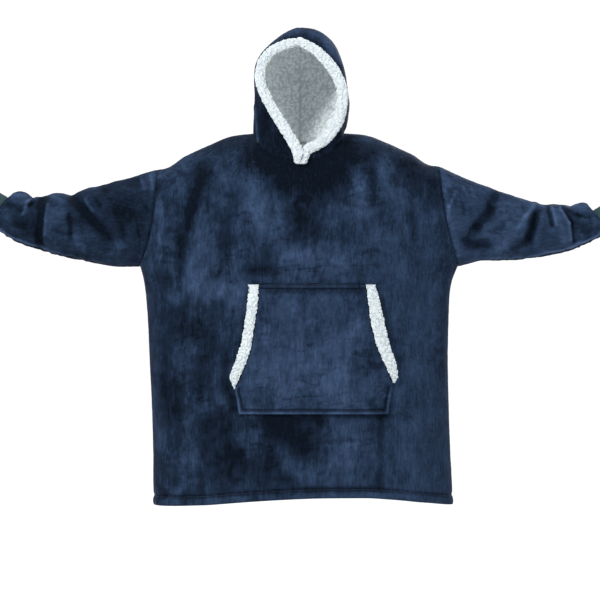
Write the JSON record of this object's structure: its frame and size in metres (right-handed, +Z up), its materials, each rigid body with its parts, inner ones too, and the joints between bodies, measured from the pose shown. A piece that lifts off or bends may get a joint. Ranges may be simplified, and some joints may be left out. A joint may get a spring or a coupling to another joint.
{
  "type": "oversized hooded pullover, worn form without a wearer",
  "caption": "Oversized navy plush hoodie with white fleece trim on hood and pocket, filled out as worn, arms held out.",
  "frame": {"origin": "middle of the neck at the height of the shoulder points, where the wearer's shoulders hold the garment", "axes": "+X towards the wearer's left hand, +Y towards the back, +Z up"},
  "size_m": [1.598, 0.3294, 1.153],
  "materials": {
    "plush": "brushed navy plush with a soft nap",
    "fleece": "curly off-white fleece",
    "rib": "dark rib knit"
  },
  "bodies": {
    "root": {"front_panel": "plush", "back_panel": "plush", "sleeve_right": "plush", "sleeve_left": "plush", "cuff_right": "rib", "cuff_left": "rib", "hood_right": "plush", "hood_left": "plush", "hood_trim_right": "fleece", "hood_trim_left": "fleece", "pocket": "plush", "pocket_trim_right": "fleece", "pocket_trim_left": "fleece"}
  },
  "joints": []
}
